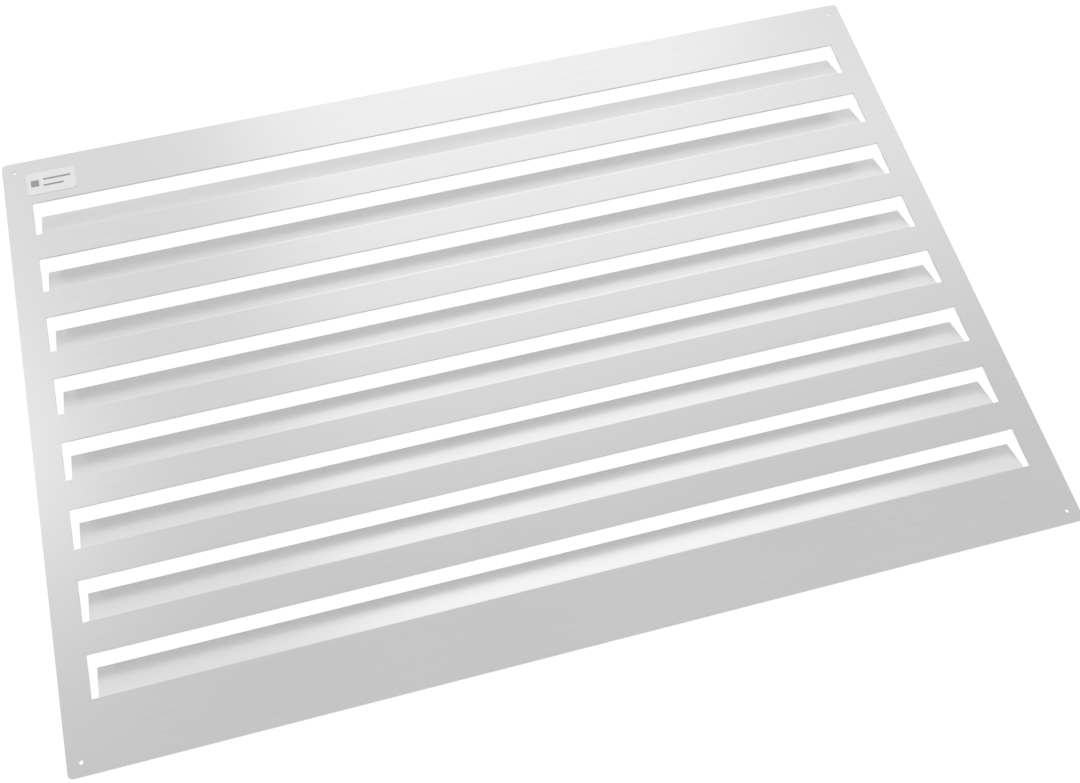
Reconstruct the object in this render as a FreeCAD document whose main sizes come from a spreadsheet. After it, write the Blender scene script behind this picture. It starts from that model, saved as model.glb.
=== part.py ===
import FreeCAD, Part
import math
import os
import Sketcher

# Louvred ventilation panel, in millimetres.
# One sheet of thin steel, cut and folded: every louvre is a U-shaped cut whose
# tongue is folded down along its front edge.  The tongues are a little narrower
# at the fold than at the tip.  The panel lies with its louvres down, so it rests
# on their free edges at Z = 0, centred on X = 0 and Y = 0.  The front edge faces
# -Y.  A small label is stuck on the rear left corner.

SIZES = {
    # sheet blank
    "sheet_length": 500.0,
    "sheet_depth": 350.0,
    "sheet_gauge": 1.0,
    "corner_radius": 2.5,
    # fixing holes, one in each corner
    "hole_diameter": 2.0,
    "hole_inset": 6.5,
    # louvres, counted from the rear edge
    "rear_margin": 29.6,
    "least_front_margin": 30.0,
    "side_margin": 14.2,
    "land_width": 16.1,
    "flap_length": 18.4,
    "free_gap": 3.3,
    "tip_gap": 2.4,
    "root_gap": 3.5,
    "fold_angle": 24.5,
    "fold_radius": 1.0,
    # label
    "label_length": 27.0,
    "label_width": 15.0,
    "label_thickness": 0.3,
    "label_corner": 2.0,
    "label_side_inset": 12.5,
    "label_rear_inset": 9.3,
}

# Lengths that follow from the sizes, as expressions that the features share.
SLOT_WIDTH = "(Sizes.flap_length + Sizes.free_gap)"
SLOT_LENGTH = "(Sizes.sheet_length - 2 * Sizes.side_margin)"
SLOT_REAR = "(Sizes.sheet_depth / 2 - Sizes.rear_margin)"
FOLD_LINE = f"({SLOT_REAR} - {SLOT_WIDTH})"
TIP_SPAN = f"({SLOT_LENGTH} - 2 * Sizes.tip_gap)"
ROOT_SPAN = f"({SLOT_LENGTH} - 2 * Sizes.root_gap)"
LOUVRE_PITCH = f"(Sizes.land_width + {SLOT_WIDTH})"
LOUVRE_FIELD = f"(Sizes.sheet_depth - Sizes.rear_margin - Sizes.least_front_margin - {SLOT_WIDTH})"
LOUVRE_COUNT = f"floor({LOUVRE_FIELD} / {LOUVRE_PITCH}) + 1"
# The fold takes up its own arc, along the middle of the sheet, and the rest
# of the tongue stays straight.
OUTER_RADIUS = "(Sizes.fold_radius + Sizes.sheet_gauge)"
FOLD_ARC = "((Sizes.fold_radius + Sizes.sheet_gauge / 2) * Sizes.fold_angle * pi / 180)"
FLAP_STRAIGHT = f"(Sizes.flap_length - {FOLD_ARC})"
FOLD_ANGLE = "(Sizes.fold_angle * 1 deg)"
# Height of the sheet's top face above the free edges that it stands on.
TOP_FACE = (
    f"(Sizes.sheet_gauge + Sizes.fold_radius * (1 - cos({FOLD_ANGLE}))"
    f" + {FLAP_STRAIGHT} * sin({FOLD_ANGLE}))"
)

# Names for the two ends and the centre of a sketch's lines and arcs, and for
# its origin and vertical axis.
START, END, CENTRE = range(1, 4)
ORIGIN = (-1, 1)
VERTICAL_AXIS = -2


def write_sizes(doc):
    """Put every driving size in the spreadsheet, under its own alias."""
    sheet = doc.addObject("Spreadsheet::Sheet", "Sizes")
    for row, (alias, value) in enumerate(SIZES.items(), start=1):
        sheet.set(f"A{row}", alias)
        sheet.set(f"B{row}", str(value))
        sheet.setAlias(f"B{row}", alias)
    doc.recompute()


def new_body(doc, label):
    """Start a body whose label names its file, with Z = 0 on the sheet's top face."""
    body = doc.addObject("PartDesign::Body", label)
    body.Label = label
    body.setExpression("Placement.Base.z", TOP_FACE)
    return body


def origin_feature(body, role):
    """Return the body's own plane or axis that has this role."""
    for feature in body.Origin.OriginFeatures:
        if feature.Role == role:
            return feature
    raise RuntimeError(f"{body.Label} has no {role}")


def new_sketch(body, name, role):
    """Attach a sketch to one of the body's origin planes."""
    sketch = body.newObject("Sketcher::SketchObject", name)
    sketch.AttachmentSupport = [(origin_feature(body, role), "")]
    sketch.MapMode = "FlatFace"
    return sketch


def add_line(sketch, start, end):
    """Draw a line and return its index."""
    return sketch.addGeometry(Part.LineSegment(FreeCAD.Vector(*start, 0), FreeCAD.Vector(*end, 0)))


def add_rule(sketch, *rule):
    """Add a geometric constraint."""
    return sketch.addConstraint(Sketcher.Constraint(*rule))


def add_size(sketch, name, expression, *rule):
    """Add a dimension and bind it to an expression on the sizes."""
    index = add_rule(sketch, *rule)
    sketch.renameConstraint(index, name)
    sketch.setExpression(f"Constraints.{name}", expression)


def add_outline(sketch, corners):
    """Draw a closed outline of straight lines and return them."""
    following = corners[1:] + corners[:1]
    lines = [add_line(sketch, start, end) for start, end in zip(corners, following)]
    for line, after in zip(lines, lines[1:] + lines[:1]):
        add_rule(sketch, "Coincident", line, END, after, START)
    return lines


def add_rectangle(sketch, low, high):
    """Draw a closed rectangle; return its bottom, right, top and left lines."""
    lines = add_outline(sketch, [low, (high[0], low[1]), high, (low[0], high[1])])
    for line, rule in zip(lines, ["Horizontal", "Vertical", "Horizontal", "Vertical"]):
        add_rule(sketch, rule, line)
    return lines


def pad(body, name, sketch, length, **settings):
    """Raise a sketch into a solid of a bound length."""
    feature = body.newObject("PartDesign::Pad", name)
    feature.Profile = sketch
    for key, value in settings.items():
        setattr(feature, key, value)
    feature.setExpression("Length", length)
    body.Document.recompute()
    return feature


def cut_through(body, name, sketch):
    """Cut a sketch on the top face down through the sheet."""
    cut = body.newObject("PartDesign::Pocket", name)
    cut.Profile = sketch
    cut.Type = "ThroughAll"
    body.Document.recompute()
    return cut


def round_upright_edges(body, name, base, radius):
    """Round the four corners of a plate, seen from above."""
    upright = []
    for number, edge in enumerate(base.Shape.Edges, start=1):
        direction = edge.Vertexes[-1].Point - edge.Vertexes[0].Point
        if math.hypot(direction.x, direction.y) < abs(direction.z):
            upright.append(f"Edge{number}")
    fillet = body.newObject("PartDesign::Fillet", name)
    fillet.Base = (base, upright)
    fillet.setExpression("Radius", radius)
    body.Document.recompute()
    return fillet


def sheet_blank(body):
    """The flat sheet with its rounded corners, its top face at Z = 0."""
    half_length, half_depth = SIZES["sheet_length"] / 2, SIZES["sheet_depth"] / 2
    sketch = new_sketch(body, "BlankOutline", "XY_Plane")
    bottom, right, top, left = add_rectangle(
        sketch, (-half_length, -half_depth), (half_length, half_depth))
    add_rule(sketch, "Symmetric", bottom, START, top, START, *ORIGIN)
    add_size(sketch, "length", "Sizes.sheet_length",
             "DistanceX", bottom, START, bottom, END, 2 * half_length)
    add_size(sketch, "depth", "Sizes.sheet_depth",
             "DistanceY", right, START, right, END, 2 * half_depth)
    blank = pad(body, "Blank", sketch, "Sizes.sheet_gauge", Reversed=True)
    return round_upright_edges(body, "RoundedCorners", blank, "Sizes.corner_radius")


def fixing_holes(body):
    """Four plain holes, each inset the same way from its two edges."""
    sketch = new_sketch(body, "HoleCentres", "XY_Plane")
    far_x = SIZES["sheet_length"] / 2 - SIZES["hole_inset"]
    far_y = SIZES["sheet_depth"] / 2 - SIZES["hole_inset"]
    corners = [(-far_x, -far_y), (far_x, -far_y), (far_x, far_y), (-far_x, far_y)]
    radius = SIZES["hole_diameter"] / 2
    circles = [
        sketch.addGeometry(Part.Circle(FreeCAD.Vector(x, y, 0), FreeCAD.Vector(0, 0, 1), radius))
        for x, y in corners
    ]
    for circle in circles[1:]:
        add_rule(sketch, "Equal", circles[0], circle)
    add_rule(sketch, "Horizontal", circles[0], CENTRE, circles[1], CENTRE)
    add_rule(sketch, "Vertical", circles[1], CENTRE, circles[2], CENTRE)
    add_rule(sketch, "Symmetric", circles[0], CENTRE, circles[2], CENTRE, *ORIGIN)
    add_rule(sketch, "Symmetric", circles[1], CENTRE, circles[3], CENTRE, *ORIGIN)
    add_size(sketch, "diameter", "Sizes.hole_diameter", "Diameter", circles[0], 2 * radius)
    add_size(sketch, "spacing_x", "Sizes.sheet_length - 2 * Sizes.hole_inset",
             "DistanceX", circles[0], CENTRE, circles[1], CENTRE, 2 * far_x)
    add_size(sketch, "spacing_y", "Sizes.sheet_depth - 2 * Sizes.hole_inset",
             "DistanceY", circles[1], CENTRE, circles[2], CENTRE, 2 * far_y)
    return cut_through(body, "FixingHoles", sketch)


def louvre_slot(body):
    """The window of the rear louvre: its tongue and the cut on three sides of it."""
    half_slot = SIZES["sheet_length"] / 2 - SIZES["side_margin"]
    width = SIZES["flap_length"] + SIZES["free_gap"]
    rear = SIZES["sheet_depth"] / 2 - SIZES["rear_margin"]
    sketch = new_sketch(body, "SlotOutline", "XY_Plane")
    bottom, right, top, left = add_rectangle(sketch, (-half_slot, rear - width), (half_slot, rear))
    add_size(sketch, "length", SLOT_LENGTH, "DistanceX", bottom, START, bottom, END, 2 * half_slot)
    add_size(sketch, "end", f"{SLOT_LENGTH} / 2", "DistanceX", *ORIGIN, bottom, END, half_slot)
    add_size(sketch, "width", SLOT_WIDTH, "DistanceY", right, START, right, END, width)
    add_size(sketch, "rear", SLOT_REAR, "DistanceY", *ORIGIN, top, START, rear)
    return cut_through(body, "LouvreSlot", sketch)


def louvre_flap(body):
    """The tongue of the rear louvre: a tight fold down, then straight to its free edge."""
    gauge, inner = SIZES["sheet_gauge"], SIZES["fold_radius"]
    outer = inner + gauge
    angle = math.radians(SIZES["fold_angle"])
    straight = SIZES["flap_length"] - (inner + gauge / 2) * angle
    width = SIZES["flap_length"] + SIZES["free_gap"]
    fold_line = SIZES["sheet_depth"] / 2 - SIZES["rear_margin"] - width
    centre = FreeCAD.Vector(fold_line, -outer, 0)

    def along(radius, distance):
        """A point at this radius from the fold's centre, this far past the fold."""
        return (
            centre.x + radius * math.sin(angle) + distance * math.cos(angle),
            centre.y + radius * math.cos(angle) - distance * math.sin(angle),
        )

    sketch = new_sketch(body, "FlapSection", "YZ_Plane")
    axis = FreeCAD.Vector(0, 0, 1)
    quarter = math.pi / 2
    top_circle, under_circle = (Part.Circle(centre, axis, radius) for radius in (outer, inner))
    top_arc = sketch.addGeometry(Part.ArcOfCircle(top_circle, quarter - angle, quarter))
    top_line = add_line(sketch, along(outer, 0), along(outer, straight))
    free_end = add_line(sketch, along(outer, straight), along(inner, straight))
    under_line = add_line(sketch, along(inner, straight), along(inner, 0))
    under_arc = sketch.addGeometry(Part.ArcOfCircle(under_circle, quarter - angle, quarter))
    root = add_line(sketch, (fold_line, -gauge), (fold_line, 0))

    add_rule(sketch, "Tangent", top_arc, START, top_line, START)
    add_rule(sketch, "Coincident", top_line, END, free_end, START)
    add_rule(sketch, "Perpendicular", top_line, free_end)
    add_rule(sketch, "Coincident", free_end, END, under_line, START)
    add_rule(sketch, "Parallel", top_line, under_line)
    add_rule(sketch, "Tangent", under_line, END, under_arc, START)
    add_rule(sketch, "Coincident", under_arc, CENTRE, top_arc, CENTRE)
    add_rule(sketch, "Coincident", under_arc, END, root, START)
    add_rule(sketch, "Coincident", root, END, top_arc, END)
    add_rule(sketch, "Vertical", root)
    add_rule(sketch, "Vertical", root, END, top_arc, CENTRE)
    add_size(sketch, "fold_line", FOLD_LINE, "DistanceX", *ORIGIN, root, END, fold_line)
    add_size(sketch, "fold_depth", OUTER_RADIUS, "DistanceY", top_arc, CENTRE, *ORIGIN, outer)
    add_size(sketch, "outer", OUTER_RADIUS, "Radius", top_arc, outer)
    add_size(sketch, "inner", "Sizes.fold_radius", "Radius", under_arc, inner)
    add_size(sketch, "straight", FLAP_STRAIGHT, "Distance", top_line, straight)
    add_size(sketch, "slope", f"-{FOLD_ANGLE}", "Angle", top_line, -angle)
    return pad(body, "LouvreFlap", sketch, TIP_SPAN, SideType="Symmetric")


def flap_sides(body):
    """Trim the tongue's two sides, so that it is a little narrower at its fold than at its tip."""
    half_slot = SIZES["sheet_length"] / 2 - SIZES["side_margin"]
    rear = SIZES["sheet_depth"] / 2 - SIZES["rear_margin"]
    front = rear - SIZES["flap_length"] - SIZES["free_gap"]
    root, tip = half_slot - SIZES["root_gap"], half_slot - SIZES["tip_gap"]
    outer = half_slot - SIZES["tip_gap"] / 2
    corners = [(root, front), (outer, front), (outer, rear), (tip, rear)]
    sketch = new_sketch(body, "SideTrim", "XY_Plane")
    right = add_outline(sketch, corners)
    left = add_outline(sketch, [(-x, y) for x, y in corners])
    for here, there in zip(right, left):
        add_rule(sketch, "Symmetric", here, START, there, START, VERTICAL_AXIS)
    add_rule(sketch, "Horizontal", right[0])
    add_rule(sketch, "Vertical", right[1])
    add_rule(sketch, "Horizontal", right[2])
    add_size(sketch, "root", f"{ROOT_SPAN} / 2", "DistanceX", *ORIGIN, right[0], START, root)
    add_size(sketch, "outer", f"({SLOT_LENGTH} - Sizes.tip_gap) / 2",
             "DistanceX", *ORIGIN, right[1], START, outer)
    add_size(sketch, "tip", f"{TIP_SPAN} / 2", "DistanceX", *ORIGIN, right[3], START, tip)
    add_size(sketch, "front", FOLD_LINE, "DistanceY", *ORIGIN, right[0], START, front)
    add_size(sketch, "rear", SLOT_REAR, "DistanceY", *ORIGIN, right[2], START, rear)
    return cut_through(body, "FlapSides", sketch)


def louvre_rows(body, features):
    """Repeat the rear louvre towards the front edge."""
    rows = body.newObject("PartDesign::LinearPattern", "LouvreRows")
    rows.Originals = features
    rows.Direction = (origin_feature(body, "Y_Axis"), [""])
    rows.Reversed = True
    rows.Mode = "Spacing"
    rows.setExpression("Offset", LOUVRE_PITCH)
    rows.setExpression("Occurrences", LOUVRE_COUNT)
    body.Tip = rows
    body.Document.recompute()


def louvred_panel(doc):
    """The folded sheet."""
    body = new_body(doc, "louvred_panel")
    sheet_blank(body)
    fixing_holes(body)
    louvre_rows(body, [louvre_slot(body), louvre_flap(body), flap_sides(body)])
    return body


def label_plate(doc):
    """The blank label, stuck flat on the top face beside the rear left hole."""
    body = new_body(doc, "label_plate")
    left = SIZES["label_side_inset"] - SIZES["sheet_length"] / 2
    rear = SIZES["sheet_depth"] / 2 - SIZES["label_rear_inset"]
    length, width = SIZES["label_length"], SIZES["label_width"]
    sketch = new_sketch(body, "LabelOutline", "XY_Plane")
    bottom, right, top, side = add_rectangle(sketch, (left, rear - width), (left + length, rear))
    add_size(sketch, "length", "Sizes.label_length", "DistanceX", bottom, START, bottom, END, length)
    add_size(sketch, "width", "Sizes.label_width", "DistanceY", right, START, right, END, width)
    add_size(sketch, "left", "Sizes.sheet_length / 2 - Sizes.label_side_inset",
             "DistanceX", side, START, *ORIGIN, -left)
    add_size(sketch, "rear", "Sizes.sheet_depth / 2 - Sizes.label_rear_inset",
             "DistanceY", *ORIGIN, top, START, rear)
    plate = pad(body, "Plate", sketch, "Sizes.label_thickness")
    round_upright_edges(body, "RoundedPlate", plate, "Sizes.label_corner")
    return body


def check(doc, bodies):
    """Stop before anything is written if a feature failed or a solid is not sound."""
    for item in doc.Objects:
        if {"Invalid", "Error"} & set(item.State):
            raise RuntimeError(f"{item.Label} failed: {item.State}")
    for body in bodies:
        shape = body.Shape
        if shape.isNull() or not shape.isValid() or len(shape.Solids) != 1:
            raise RuntimeError(f"{body.Label} is not one valid solid")


def main():
    doc = FreeCAD.newDocument("LouvredPanel")
    write_sizes(doc)
    bodies = [louvred_panel(doc), label_plate(doc)]
    doc.recompute()
    check(doc, bodies)
    os.makedirs("parts", exist_ok=True)
    for body in bodies:
        body.Shape.exportStep(f"parts/{body.Label}.step")
        box = body.Shape.BoundBox
        print(body.Label, "volume", round(body.Shape.Volume, 1), "box",
              [round(v, 3) for v in (box.XMin, box.YMin, box.ZMin, box.XMax, box.YMax, box.ZMax)])


main()
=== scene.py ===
import math

import bpy
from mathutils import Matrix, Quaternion, Vector


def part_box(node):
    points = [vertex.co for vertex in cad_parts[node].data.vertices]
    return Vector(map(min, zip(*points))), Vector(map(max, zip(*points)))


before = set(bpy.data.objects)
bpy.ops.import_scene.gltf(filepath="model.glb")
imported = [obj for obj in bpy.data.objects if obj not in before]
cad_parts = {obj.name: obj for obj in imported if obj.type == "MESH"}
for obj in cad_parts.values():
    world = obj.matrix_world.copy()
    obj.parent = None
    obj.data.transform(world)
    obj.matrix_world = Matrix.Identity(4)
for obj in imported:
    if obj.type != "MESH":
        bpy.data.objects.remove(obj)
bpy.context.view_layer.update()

# A louvred panel of satin steel sheet with a small label of plain printed
# fields, lying on a white table with its louvres down.  Lengths are in metres.

MM = 0.001
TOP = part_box("louvred_panel")[1].z

# The label's plain printed fields: the centre as shares of the label's length
# and width, then half the field's length and width.
LABEL_FIELDS = (
    ((0.17, 0.50), (2.2 * MM, 2.2 * MM)),
    ((0.62, 0.64), (7.5 * MM, 0.6 * MM)),
    ((0.54, 0.36), (5.5 * MM, 0.6 * MM)),
)

# The camera looks down on the panel from in front and a little to its left.
CAMERA_LENS = 45.6
CAMERA_PLACE = (-0.0918, -0.3515, TOP + 0.6279)
CAMERA_TARGET = (0.0058, -0.0379, TOP)
CAMERA_ROLL = math.radians(2.53)

# The room's brightness along a lean that runs from the far walls, over the
# ceiling and back over the viewer's shoulder.  The far walls are white, then
# comes a darker band, and from the ceiling's middle on the room is white
# again, so that matt colours render about as written.
ROOM_LEAN = (0.10, -0.65, 0.70)
ROOM_LEVELS = (
    (0.00, 1.00),
    (0.12, 0.90),
    (0.33, 0.89),
    (0.41, 0.60),
    (0.53, 0.60),
    (0.66, 1.00),
)

# Softboxes: name, place, target, width, height and how bright each looks
# beside a white of 1.
SOFTBOXES = (
    ("key_box", (0.36, 1.5, 1.36), (0.36, 0.0, 1.36), 1.08, 2.12, 0.29),
    ("wide_box", (0.78, 1.5, 2.25), (0.78, 0.0, 2.25), 1.92, 0.70, 0.36),
    ("left_box", (-1.12, 1.5, 2.70), (-1.12, 0.0, 2.70), 0.60, 1.10, 0.75),
    ("right_box", (1.50, 0.55, 1.75), (0.2, -0.1, 0.0), 0.30, 0.30, 0.30),
)

# Where the Mix node keeps its factor, its two colours and its mixed colour.
MIX_FACTOR, MIX_FIRST, MIX_SECOND = 0, 6, 7
MIX_COLOUR = 2


def linear(hex_colour):
    """Turn an sRGB hex value such as '#C8C8C8' into a linear RGBA colour."""
    channels = [int(hex_colour[i:i + 2], 16) / 255 for i in (1, 3, 5)]
    return [c / 12.92 if c <= 0.04045 else ((c + 0.055) / 1.055) ** 2.4 for c in channels] + [1.0]


def add_node(tree, kind, settings=None, links=None):
    """Add a node.  Settings are its properties or inputs, links the outputs that feed its inputs."""
    node = tree.nodes.new(kind)
    for name, value in (settings or {}).items():
        if isinstance(name, int) or name in node.inputs:
            node.inputs[name].default_value = value
        else:
            setattr(node, name, value)
    for name, output in (links or {}).items():
        tree.links.new(output, node.inputs[name])
    return node


def new_material(name):
    """Start a material with an empty node tree."""
    material = bpy.data.materials.new(name)
    material.use_nodes = True
    material.node_tree.nodes.clear()
    return material, material.node_tree


def finish_material(material, shader):
    """Wire the shader to the material's output."""
    add_node(material.node_tree, "ShaderNodeOutputMaterial", links={"Surface": shader})
    return material


# ---------------------------------------------------------------- materials

def satin_steel():
    """Stainless sheet with a satin grain along its length, and duller cut edges."""
    material, tree = new_material("satin_steel")
    place = add_node(tree, "ShaderNodeTexCoord").outputs["Object"]
    # Real satin grain is under 0.1 mm wide.  It is drawn about ten times as
    # coarse, so that the eye still reads faint streaks along the sheet.
    stretched = add_node(tree, "ShaderNodeMapping", {
        "Scale": (1 / (60 * MM), 1 / (0.9 * MM), 1 / (60 * MM)),
    }, {"Vector": place})
    grain = add_node(tree, "ShaderNodeTexNoise", {
        "Scale": 1.0,
        "Detail": 2.0,
    }, {"Vector": stretched.outputs["Vector"]})
    tone = add_node(tree, "ShaderNodeValToRGB", links={"Fac": grain.outputs["Fac"]})
    for stop, colour in zip(tone.color_ramp.elements, ("#DCDCDC", "#E2E2E2")):
        stop.color = linear(colour)
    # The rolled sheet is a little smoother in some places than in others.
    patches = add_node(tree, "ShaderNodeTexNoise", {
        "Scale": 1 / (140 * MM),
        "Detail": 1.0,
    }, {"Vector": place})
    roughness = add_node(tree, "ShaderNodeMapRange", {
        "From Min": 0.3,
        "From Max": 0.7,
        "To Min": 0.25,
        "To Max": 0.27,
    }, {"Value": patches.outputs["Fac"]})
    # With the tangent across the grain, highlights spread across it as well.
    across_grain = add_node(tree, "ShaderNodeCombineXYZ", {"Y": 1.0})
    face = add_node(tree, "ShaderNodeBsdfPrincipled", {
        "Metallic": 1.0,
        "Anisotropic": 0.5,
    }, {
        "Base Color": tone.outputs["Color"],
        "Roughness": roughness.outputs["Result"],
        "Tangent": across_grain.outputs["Vector"],
    })
    # Sheared edges have no grain and scatter the light, so they stay pale.
    edge = add_node(tree, "ShaderNodeBsdfPrincipled", {
        "Base Color": linear("#DADADA"),
        "Metallic": 1.0,
        "Roughness": 0.5,
    })
    # A surface is a cut edge where it is steep; the flaps slope far less.
    surface = add_node(tree, "ShaderNodeNewGeometry")
    slope = add_node(tree, "ShaderNodeSeparateXYZ", links={"Vector": surface.outputs["True Normal"]})
    upward = add_node(tree, "ShaderNodeMath", {"operation": "ABSOLUTE"}, {0: slope.outputs["Z"]})
    is_cut = add_node(tree, "ShaderNodeMath", {"operation": "LESS_THAN", 1: 0.6}, {0: upward.outputs[0]})
    both = add_node(tree, "ShaderNodeMixShader", links={
        0: is_cut.outputs[0],
        1: face.outputs["BSDF"],
        2: edge.outputs["BSDF"],
    })
    return finish_material(material, both.outputs["Shader"])


def printed_field(tree, place, centre, half):
    """A mask that is 1 inside one printed rectangle of the label."""
    inside = [
        add_node(tree, "ShaderNodeMath", {
            "operation": "COMPARE",
            1: centre[axis],
            2: half[axis],
        }, {0: place.outputs[axis]})
        for axis in range(2)
    ]
    return add_node(tree, "ShaderNodeMath", {"operation": "MULTIPLY"}, {
        0: inside[0].outputs[0],
        1: inside[1].outputs[0],
    })


def label_film():
    """Matt polyester label film, paler than the steel, with a generic print of plain grey fields."""
    material, tree = new_material("label_film")
    place = add_node(tree, "ShaderNodeTexCoord").outputs["Object"]
    # The film's fine tooth, drawn at about a millimetre so that it still shows.
    tooth = add_node(tree, "ShaderNodeTexNoise", {
        "Scale": 1 / (1.2 * MM),
        "Detail": 2.0,
    }, {"Vector": place})
    film = add_node(tree, "ShaderNodeValToRGB", links={"Fac": tooth.outputs["Fac"]})
    for stop, colour in zip(film.color_ramp.elements, ("#E4E4E4", "#F0F0F0")):
        stop.color = linear(colour)
    split = add_node(tree, "ShaderNodeSeparateXYZ", links={"Vector": place})
    low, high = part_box("label_plate")
    tone = film.outputs["Color"]
    for (along, up), half in LABEL_FIELDS:
        centre = (low.x + along * (high.x - low.x), low.y + up * (high.y - low.y))
        field = printed_field(tree, split, centre, half)
        tone = add_node(tree, "ShaderNodeMix", {
            "data_type": "RGBA",
            MIX_SECOND: linear("#9C9C9C"),
        }, {MIX_FACTOR: field.outputs[0], MIX_FIRST: tone}).outputs[MIX_COLOUR]
    shader = add_node(tree, "ShaderNodeBsdfPrincipled", {"Roughness": 0.6}, {"Base Color": tone})
    return finish_material(material, shader.outputs["BSDF"])


def white_table():
    """White card: bright to the eye and in reflections, with a faint shadow under the panel."""
    material, tree = new_material("white_table")
    place = add_node(tree, "ShaderNodeTexCoord").outputs["Object"]
    # The card's surface, with fibres drawn at about a millimetre.  Its grey
    # only takes the shadow; the glow below makes the white.
    fibres = add_node(tree, "ShaderNodeTexNoise", {
        "Scale": 1 / (1.0 * MM),
        "Detail": 2.0,
    }, {"Vector": place})
    tone = add_node(tree, "ShaderNodeValToRGB", links={"Fac": fibres.outputs["Fac"]})
    for stop, colour in zip(tone.color_ramp.elements, ("#5D5D5D", "#656565")):
        stop.color = linear(colour)
    card = add_node(tree, "ShaderNodeBsdfDiffuse", links={"Color": tone.outputs["Color"]})
    # The glow is seen, mirrored or seen through, but lights nothing.
    path = add_node(tree, "ShaderNodeLightPath")
    seen = path.outputs["Is Camera Ray"]
    for ray in ("Is Glossy Ray", "Is Transmission Ray"):
        seen = add_node(tree, "ShaderNodeMath", {"operation": "MAXIMUM"}, {
            0: seen,
            1: path.outputs[ray],
        }).outputs[0]
    level = add_node(tree, "ShaderNodeMath", {"operation": "MULTIPLY", 1: 0.93}, {0: seen})
    glow = add_node(tree, "ShaderNodeEmission", links={"Strength": level.outputs[0]})
    both = add_node(tree, "ShaderNodeAddShader", links={0: card.outputs[0], 1: glow.outputs[0]})
    return finish_material(material, both.outputs[0])


# ------------------------------------------------------------------- pieces

def dress(node, material):
    """Give a CAD node its finish."""
    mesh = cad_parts[node].data
    mesh.materials.clear()
    mesh.materials.append(material)


def add_object(name, data):
    """Put a mesh, camera or lamp into the scene."""
    thing = bpy.data.objects.new(name, data)
    bpy.context.scene.collection.objects.link(thing)
    return thing


def table_top():
    """A wide flat floor for the panel to lie on."""
    half = 4.0
    mesh = bpy.data.meshes.new("table")
    corners = [(-half, -half, 0), (half, -half, 0), (half, half, 0), (-half, half, 0)]
    mesh.from_pydata(corners, [], [(0, 1, 2, 3)])
    mesh.materials.append(white_table())
    add_object("table", mesh)


# --------------------------------------------------------- camera and light

def aim(thing, place, target, roll=0.0):
    """Place a camera or lamp and point it at its target."""
    thing.location = place
    look = (Vector(place) - Vector(target)).to_track_quat("Z", "Y")
    thing.rotation_mode = "QUATERNION"
    thing.rotation_quaternion = look @ Quaternion((0, 0, 1), roll)


def camera():
    """The camera that sees the whole panel."""
    data = bpy.data.cameras.new("camera")
    data.sensor_width = 36.0
    data.lens = CAMERA_LENS
    data.clip_start = 0.01
    data.clip_end = 50.0
    thing = add_object("camera", data)
    aim(thing, CAMERA_PLACE, CAMERA_TARGET, CAMERA_ROLL)
    bpy.context.scene.camera = thing


def softbox(name, place, target, width, height, level):
    """A soft rectangular lamp that looks this bright next to a white of 1."""
    data = bpy.data.lights.new(name, "AREA")
    data.shape = "RECTANGLE"
    data.size = width
    data.size_y = height
    data.energy = level * math.pi * width * height
    aim(add_object(name, data), place, target)


def pale_room():
    """White walls with a darker band high up, plain white where seen directly."""
    world = bpy.data.worlds.new("pale_room")
    world.use_nodes = True
    tree = world.node_tree
    tree.nodes.clear()
    direction = add_node(tree, "ShaderNodeTexCoord")
    lean = add_node(tree, "ShaderNodeVectorMath", {
        "operation": "DOT_PRODUCT",
        1: ROOM_LEAN,
    }, {0: direction.outputs["Generated"]})
    level = add_node(tree, "ShaderNodeValToRGB", links={"Fac": lean.outputs["Value"]})
    stops = level.color_ramp.elements
    for number, (position, white) in enumerate(ROOM_LEVELS):
        # The ramp starts with two stops, and the others are added.
        stop = stops[number] if number < 2 else stops.new(position)
        stop.position = position
        stop.color = (white, white, white, 1)
    path = add_node(tree, "ShaderNodeLightPath")
    seen = add_node(tree, "ShaderNodeMix", {
        "data_type": "RGBA",
        MIX_SECOND: (1, 1, 1, 1),
    }, {MIX_FACTOR: path.outputs["Is Camera Ray"], MIX_FIRST: level.outputs["Color"]})
    room = add_node(tree, "ShaderNodeBackground", {"Strength": 1.0}, {"Color": seen.outputs[MIX_COLOUR]})
    add_node(tree, "ShaderNodeOutputWorld", links={"Surface": room.outputs[0]})
    bpy.context.scene.world = world


bpy.context.scene.view_settings.view_transform = "Standard"
dress("louvred_panel", satin_steel())
dress("label_plate", label_film())
table_top()
camera()
pale_room()
for box in SOFTBOXES:
    softbox(*box)
